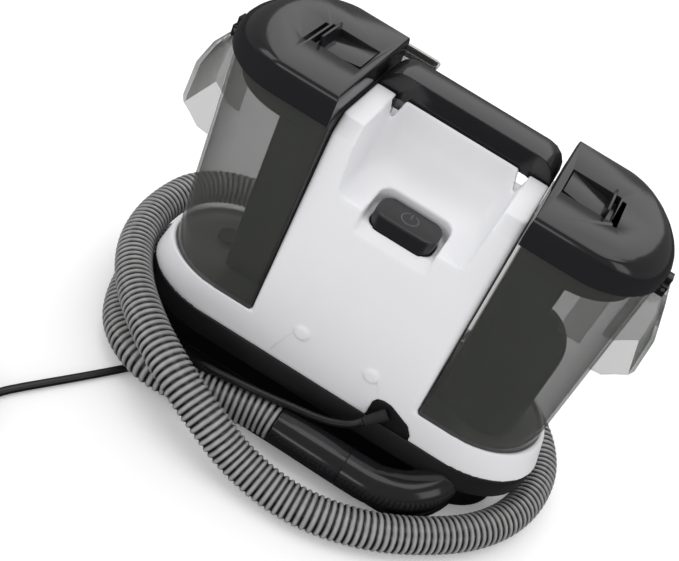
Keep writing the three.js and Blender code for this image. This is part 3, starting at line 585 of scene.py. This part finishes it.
# %% Hose with its ribs
rib = np.array([0.0, 0.5, 1.4, 1.85, 2.0, 1.85, 1.4, 0.5])
trough = HOSE_DIAMETER / 2 - rib.max()
rib_rise = rib[np.arange(len(hose_line)) % RIB_STOPS]
hose_radii = (trough + rib_rise) * MM
HOSE_SIDES = 40
suction_hose = sweep("ribbed_hose", hose_line, hose_radii, HOSE_SIDES)
# The crest attribute holds the rib's height, which sets where the painted trough shade falls.
height = rib_rise / rib.max()
crest = suction_hose.data.attributes.new("crest", "FLOAT", "POINT")
crest.data.foreach_set("value", np.repeat(height, HOSE_SIDES).astype(np.float32))
suction_hose.data.materials.append(hose_pe)
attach(suction_hose, "machine")
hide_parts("suction_hose")

# %% [markdown]
# ## Finishing a moulded part
# The CAD solids have the right size and place, but sharp edges and flat facets. A moulding has neither:
# every edge has a small radius. So each part is copied, its loose triangles are merged into clean
# faces, its sharp edges are bevelled, and it is shaded smooth. A bevel can't follow the many edges
# that meet in a large shell's hollows. Such a shell is remeshed into small even faces instead, and
# relaxed until its outside edges and inside corners are both round.


# %% Select, copy and refine
MERGE_WITHIN = 0.02 * MM
FLAT_WITHIN = math.radians(0.8)


def pick(piece):
    bpy.ops.object.select_all(action="DESELECT")
    piece.select_set(True)
    bpy.context.view_layer.objects.active = piece


def copy_of(node_name, name):
    """A free copy of a CAD node's mesh, merged into one skin."""
    mesh = nodes[node_name].data.copy()
    mesh.materials.clear()
    piece = bpy.data.objects.new(name, mesh)
    bpy.context.scene.collection.objects.link(piece)
    pick(piece)
    bpy.ops.object.mode_set(mode="EDIT")
    bpy.ops.mesh.select_all(action="SELECT")
    bpy.ops.mesh.remove_doubles(threshold=MERGE_WITHIN)
    bpy.ops.mesh.dissolve_limited(angle_limit=FLAT_WITHIN)
    bpy.ops.object.mode_set(mode="OBJECT")
    return piece


def apply_all(piece):
    pick(piece)
    for modifier in list(piece.modifiers):
        bpy.ops.object.modifier_apply(modifier=modifier.name)


def settle(piece):
    """Put a piece's place, turn and size into its mesh."""
    pick(piece)
    bpy.ops.object.transform_apply(location=True, rotation=True, scale=True)


def select_where(piece, test):
    """Enter edit mode with only the vertices selected whose place passes the test."""
    pick(piece)
    bpy.ops.object.mode_set(mode="EDIT")
    bpy.ops.mesh.select_mode(type="VERT")
    bpy.ops.mesh.select_all(action="DESELECT")
    bpy.ops.object.mode_set(mode="OBJECT")
    for vertex in piece.data.vertices:
        vertex.select = test(vertex.co)
    bpy.ops.object.mode_set(mode="EDIT")


def soften(piece, edge_mm, steps=3, sharp=32, smooth=40):
    """Round the edges that turn more than sharp degrees; shade those under smooth degrees smooth."""
    bevel = piece.modifiers.new("edge_radius", "BEVEL")
    bevel.width = edge_mm * MM
    bevel.segments = steps
    bevel.limit_method = "ANGLE"
    bevel.angle_limit = math.radians(sharp)
    bevel.miter_outer = "MITER_ARC"
    bevel.use_clamp_overlap = True
    apply_all(piece)
    bpy.ops.object.shade_smooth_by_angle(angle=math.radians(smooth))


def place_piece(piece, material, body, slot, *stands_for):
    """Give a finished piece its material and its body; slot is not used."""
    piece.data.materials.clear()
    piece.data.materials.append(material)
    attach(piece, body)
    if stands_for:
        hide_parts(*stands_for)
    print(piece.name, len(piece.data.polygons), "faces")
    return piece


def refine(node_name, name, material, body, slot, edge_mm, **rest):
    """Stand a softened copy in a CAD node's place."""
    piece = copy_of(node_name, name)
    soften(piece, edge_mm, **rest)
    return place_piece(piece, material, body, slot, node_name)


def melt(node_name, name, material, body, slot, voxel_mm, passes, share):
    """Round every edge and inside corner of a large moulding by remeshing and relaxing its skin."""
    piece = copy_of(node_name, name)
    even = piece.modifiers.new("even_skin", "REMESH")
    even.mode = "VOXEL"
    even.voxel_size = voxel_mm * MM
    relax = piece.modifiers.new("relax", "SMOOTH")
    relax.factor = 0.5
    relax.iterations = passes
    fewer = piece.modifiers.new("fewer_faces", "DECIMATE")
    fewer.ratio = share
    apply_all(piece)
    bpy.ops.object.shade_smooth()
    return place_piece(piece, material, body, slot, node_name)


# %% [markdown]
# ## Column, base and handle
# The column and the tray are one white moulding on a black base, and the rear cover closes the column.
# The handle is a polished black bar. The column's scoop and button pocket have deep round corners, so
# the column is the one part that is remeshed. It is then thinned, since flat faces need few triangles.

# %% White and black shells
melt(
    "body_shell",
    "column_and_tray",
    white_abs,
    "machine",
    "white_shell",
    voxel_mm=1.2,
    passes=7,
    share=0.42,
)
refine("rear_cover", "rear_housing", white_abs, "machine", "white_shell", edge_mm=1.5)
refine("base_shell", "base_moulding", black_abs, "machine", "black_shell", edge_mm=1.2)
refine("carry_handle", "handle_bar", gloss_abs, "machine", "black_gloss", edge_mm=1.0, steps=4)
refine("exhaust_grille", "rear_grille", black_abs, "machine", "black_shell", edge_mm=0.3)
refine("cord_gland", "cord_outlet_plate", black_abs, "machine", "black_shell", edge_mm=0.8)
refine("hose_elbow", "hose_port_elbow", gloss_abs, "machine", "black_shell", edge_mm=0.8)

# %% [markdown]
# A dark strip stands between the column and each tank as painted shade: a black sheet put in the gap,
# where there is only shadow. Each strip is a cube drawn out long and thin. Its upper end is moved
# sideways, because the column narrows towards its top, and then its edges are bevelled.

# %% Painted shade strips beside the tanks
SHADE_STRIP = 0.6 * MM
SHADE_STRIP_CLEAR = 0.15 * MM
SHADE_STRIP_LOW, SHADE_STRIP_HIGH = 96.0, 291.0
SHADE_STRIP_DEPTH = 112.0
SHADE_STRIP_Y = SHIFT_Y - 1.0
COLUMN_LOW, COLUMN_HIGH = 84.0, 79.0
SLOPE_LOW, SLOPE_HIGH = 94.0, 291.5


def column_half(z):
    """Half the column's width at this height."""
    share = (z - SLOPE_LOW) / (SLOPE_HIGH - SLOPE_LOW)
    return (COLUMN_LOW + (COLUMN_HIGH - COLUMN_LOW) * share) * MM


def gap_shade_strip(name, side):
    """A thin upright strip; side is -1 for the left of the column and 1 for the right."""
    low, high = SHADE_STRIP_LOW * MM, SHADE_STRIP_HIGH * MM
    across = side * (column_half(SHADE_STRIP_LOW) + SHADE_STRIP_CLEAR + SHADE_STRIP / 2)
    bpy.ops.object.select_all(action="DESELECT")
    bpy.ops.mesh.primitive_cube_add(
        size=1,
        location=(across, SHADE_STRIP_Y * MM, (low + high) / 2),
        scale=(SHADE_STRIP, SHADE_STRIP_DEPTH * MM, high - low),
    )
    strip = bpy.context.object
    strip.name = name
    settle(strip)
    lean = side * (column_half(SHADE_STRIP_HIGH) - column_half(SHADE_STRIP_LOW))
    select_where(strip, lambda co: co.z > (low + high) / 2)
    bpy.ops.transform.translate(value=(lean, 0, 0))
    bpy.ops.object.mode_set(mode="OBJECT")
    soften(strip, edge_mm=0.15, steps=1)
    # The strip is given black rubber as painted shade in the gap beside the tank.
    return place_piece(strip, rubber, "machine", "soft_rubber")


gap_shade_strip("left_gap_shade_strip", -1)
gap_shade_strip("right_gap_shade_strip", 1)

# %% [markdown]
# A raised crease runs outwards and down from each of the two round pads low on the column, where the
# mould's inserts meet. Each crease is a thin cube, laid along its line and bevelled nearly flat, so
# that only its edges catch the light.

# %% Crease lines on the column front
COLUMN_FRONT = -58.5
CREASE_WIDE = 1.4
CREASE_PROUD = 0.35
crease_ends = [((-38, 114), (-54, 68)), ((38, 112), (48, 90))]
for number, ((x0, z0), (x1, z1)) in enumerate(crease_ends, 1):
    run = math.hypot(x1 - x0, z1 - z0)
    bpy.ops.object.select_all(action="DESELECT")
    bpy.ops.mesh.primitive_cube_add(
        size=1,
        location=((x0 + x1) / 2 * MM, (COLUMN_FRONT + SHIFT_Y) * MM, (z0 + z1) / 2 * MM),
        rotation=(0, -math.atan2(z1 - z0, x1 - x0), 0),
        scale=(run * MM, 2 * CREASE_PROUD * MM, CREASE_WIDE * MM),
    )
    crease = bpy.context.object
    crease.name = f"front_crease_{number}"
    settle(crease)
    soften(crease, edge_mm=0.3, steps=2)
    place_piece(crease, white_abs, "machine", "white_shell")

# %% [markdown]
# ## Tanks and lids
# Each tank lifts out with its grip, its rim gasket and its hinge ears. Its lid swings with a skirt that
# plugs the rim, and a latch slides in the lid. Both sides hold the same pieces, so one loop makes
# them. The lids turn in many shallow steps round their ends, so their bevel also takes shallow edges.

# %% Tanks, grips and lids
for side in ("left", "right"):
    tank = f"{side}_tank"
    lid = f"{side}_lid"
    refine(tank, f"{side}_tank_wall", smoke_pet, tank, "smoky_tank", edge_mm=0.6)
    refine(f"{side}_tank_grip", f"{side}_finger_grip", clear_pc, tank, "clear_plastic", edge_mm=0.6)
    refine(f"{side}_tank_seal", f"{side}_rim_gasket", rubber, tank, "soft_rubber", edge_mm=0.3)
    refine(f"{side}_hinge_bracket", f"{side}_hinge_ears", black_abs, tank, "black_shell", edge_mm=0.3)
    refine(lid, f"{side}_lid_moulding", gloss_abs, lid, "black_gloss", edge_mm=0.9, sharp=20, smooth=34)
    refine(f"{side}_lid_collar", f"{side}_lid_skirt", core_pp, lid, "black_shell", edge_mm=0.5)
    latch = f"{side}_latch"
    refine(f"{lid}_latch", f"{latch}_slider", gloss_abs, latch, "black_shell", edge_mm=0.4)

# %% [markdown]
# The dark core against the column is the left tank's filter housing and the right tank's separator.
# Both show through the tinted wall only as a shape with round edges, so a wide bevel is enough.

# %% Inside the tanks
refine("left_tank_core", "left_filter_core", core_pp, "left_tank", "black_shell", edge_mm=1.5)
refine("intake_core", "right_separator_core", core_pp, "right_tank", "black_shell", edge_mm=1.5)

# %% [markdown]
# ## Button
# The power button is a satin black cap with a finely rounded rim, which takes one more step of bevel
# than the other parts. Its top is measured, because the mark is printed on it.

# %% Button
BUTTON = "power_button"
cap = refine(BUTTON, "button_cap", button_abs, BUTTON, "black_gloss", edge_mm=0.8, steps=4)
box = [Vector(corner) for corner in cap.bound_box]
cap_top = max(corner.z for corner in box)
cap_middle = sum(box, Vector()) / len(box)
print("button top at", round(cap_top, 4))

# %% [markdown]
# The power mark is a broken ring with a bar in its gap, printed proud of the button. A torus gives the
# ring, its vertices near the gap are deleted, and the open ends are filled. The bar is a cylinder
# laid down and rounded at its ends.

# %% Power mark
MARK_RADIUS = 7.2 * MM
MARK_LINE = 0.55 * MM
MARK_SUNK = 0.4 * MARK_LINE
GAP_HALF = 2.4 * MM
BAR_OFFSET = 0.6 * MARK_RADIUS
mark_place = (cap_middle.x, cap_middle.y, cap_top - MARK_SUNK)

bpy.ops.object.select_all(action="DESELECT")
bpy.ops.mesh.primitive_torus_add(
    location=mark_place,
    major_radius=MARK_RADIUS,
    minor_radius=MARK_LINE,
    major_segments=72,
    minor_segments=10,
)
mark_ring = bpy.context.object
mark_ring.name = "power_mark_ring"
settle(mark_ring)
select_where(mark_ring, lambda co: abs(co.x - cap_middle.x) < GAP_HALF and co.y > cap_middle.y)
bpy.ops.mesh.delete(type="VERT")
bpy.ops.mesh.select_all(action="SELECT")
bpy.ops.mesh.fill_holes(sides=0)
bpy.ops.mesh.normals_make_consistent(inside=False)
bpy.ops.object.mode_set(mode="OBJECT")
bpy.ops.object.shade_smooth_by_angle(angle=math.radians(60))
place_piece(mark_ring, ink, BUTTON, "black_gloss")

bpy.ops.mesh.primitive_cylinder_add(
    vertices=12,
    radius=MARK_LINE,
    depth=MARK_RADIUS,
    location=(mark_place[0], mark_place[1] + BAR_OFFSET, mark_place[2]),
    rotation=(math.pi / 2, 0, 0),
)
mark_bar = bpy.context.object
mark_bar.name = "power_mark_bar"
settle(mark_bar)
soften(mark_bar, edge_mm=0.25, steps=2, sharp=60, smooth=50)
place_piece(mark_bar, ink, BUTTON, "black_gloss")

# %% [markdown]
# ## Hose cuff and hand tool
# The cuff joins the hose to its port and turns with it. The hand tool rests in a cradle on the back,
# and its clear mouth stands up behind the handle. Bevelled CAD shapes are enough here, since the tool
# is mostly hidden.

# %% Hose cuff and tool
refine("hose_cuff", "swivel_cuff", gloss_abs, "hose_cuff", "black_shell", edge_mm=0.8)
refine("tool_collar", "tool_tail_collar", black_abs, "machine", "black_shell", edge_mm=1.0)
refine("tool_body", "tool_grip", black_abs, "machine", "black_shell", edge_mm=1.0)
refine("tool_trigger", "spray_trigger", gloss_abs, "tool_trigger", "black_gloss", edge_mm=0.6)
refine("tool_nozzle", "tool_mouth", clear_pc, "machine", "clear_plastic", edge_mm=0.6)
refine("tool_cradle", "tool_bracket", white_abs, "machine", "white_shell", edge_mm=0.8)


# %% [markdown]
# ## The rest of the CAD parts
# Small and hidden parts keep their CAD shape. Each still gets the material it is really made of.

# %% Materials for the parts that stay
kept = {
    steel: ["suction_motor", "fan_impeller", "handle_screw_1", "handle_screw_2", "base_screw_1",
            "base_screw_2", "cover_screw_1", "cover_screw_2", "left_hinge_pin", "right_hinge_pin"],
    rubber: ["foot_pad_1", "foot_pad_2", "foot_pad_3", "foot_pad_4", "motor_cradle", "outlet_valve",
             "cord_relief"],
    cord_pvc: ["mains_plug"],
    black_abs: ["switch_block", "fan_housing", "dirty_air_duct", "water_pump"],
    clear_pc: ["feed_tube", "splash_baffle"],
    white_abs: ["float_ring"],
    board: ["circuit_board"],
    bristle: ["tool_brush"],
}
for material, names in kept.items():
    for name in names:
        nodes[name].data.materials.clear()
        nodes[name].data.materials.append(material)
    print(material.name, "on", len(names), "parts")

# %% [markdown]
# ## Floor and light
# A plain pale floor and a large soft light from above give the even light of a studio. The floor glows
# a little, so that it stays pale between the lights. Mirrored in the black parts it would turn them
# grey, so glossy rays see it dark, as they would see black card laid round a glossy product.

# %% Floor
FLOOR_WIDTH = 12
FLOOR_GLOW = 0.16
bpy.ops.mesh.primitive_plane_add(size=FLOOR_WIDTH)
floor = bpy.context.object
floor.name = "studio_floor"
floor_paint, shader, place = start_material(
    "pale_floor_paint", Roughness=0.9, Emission_Color=(1, 1, 1, 1)
)
seen_in_gloss = node(floor_paint, "ShaderNodeLightPath").outputs["Is Glossy Ray"]
paint = node(
    floor_paint,
    "ShaderNodeMix",
    {"A": hex_colour("F8F8F8"), "B": hex_colour("3A3A3C"), "Factor": seen_in_gloss},
    data_type="RGBA",
).outputs["Result"]
link(floor_paint, paint, shader, "Base Color")
glow = node(
    floor_paint,
    "ShaderNodeMapRange",
    {"Value": seen_in_gloss, "To Min": FLOOR_GLOW, "To Max": 0.0},
).outputs["Result"]
link(floor_paint, glow, shader, "Emission Strength")
floor.data.materials.append(floor_paint)
print("floor", FLOOR_WIDTH, "m wide")


# %% Lights
def soft_light(name, place_m, aim_m, size, power):
    bpy.ops.object.light_add(type="AREA", location=place_m)
    light = bpy.context.object
    light.name = name
    light.data.shape = "RECTANGLE"
    light.data.size, light.data.size_y = size
    light.data.energy = power
    heading = Vector(aim_m) - Vector(place_m)
    light.rotation_euler = heading.to_track_quat("-Z", "Y").to_euler()
    return light


AT_LIDS, AT_MIDDLE, AT_BASE = (0, 0, 0.3), (0, 0, 0.15), (0, 0, 0.1)
soft_light("overhead_softbox", (0.0, 0.3, 2.2), AT_BASE, size=(2.4, 2.0), power=21)
soft_light("left_softbox", (-1.7, -1.0, 1.2), AT_MIDDLE, size=(1.2, 1.2), power=7)
soft_light("right_softbox", (1.9, -0.7, 1.0), AT_MIDDLE, size=(0.8, 1.2), power=4)
soft_light("back_softbox", (-0.1, 1.9, 1.75), AT_LIDS, size=(2.2, 1.5), power=9)
soft_light("front_strip", (-0.5, -1.9, 0.5), AT_MIDDLE, size=(1.4, 0.35), power=3)

# %% World light
SKY_LIGHT = 0.6
SKY_IN_GLOSS = 0.2
world = bpy.data.worlds.new("studio")
bpy.context.scene.world = world
world.use_nodes = True
sky = world.node_tree.nodes["Background"]
sky.inputs["Color"].default_value = (1, 1, 1, 1)
seen_in_gloss = node(world, "ShaderNodeLightPath").outputs["Is Glossy Ray"]
dimmer = node(
    world,
    "ShaderNodeMapRange",
    {"Value": seen_in_gloss, "To Min": SKY_LIGHT, "To Max": SKY_IN_GLOSS},
).outputs["Result"]
link(world, dimmer, sky, "Strength")
print("world light", SKY_LIGHT, "and", SKY_IN_GLOSS, "in gloss")

# %% End of the scene
print("scene built")
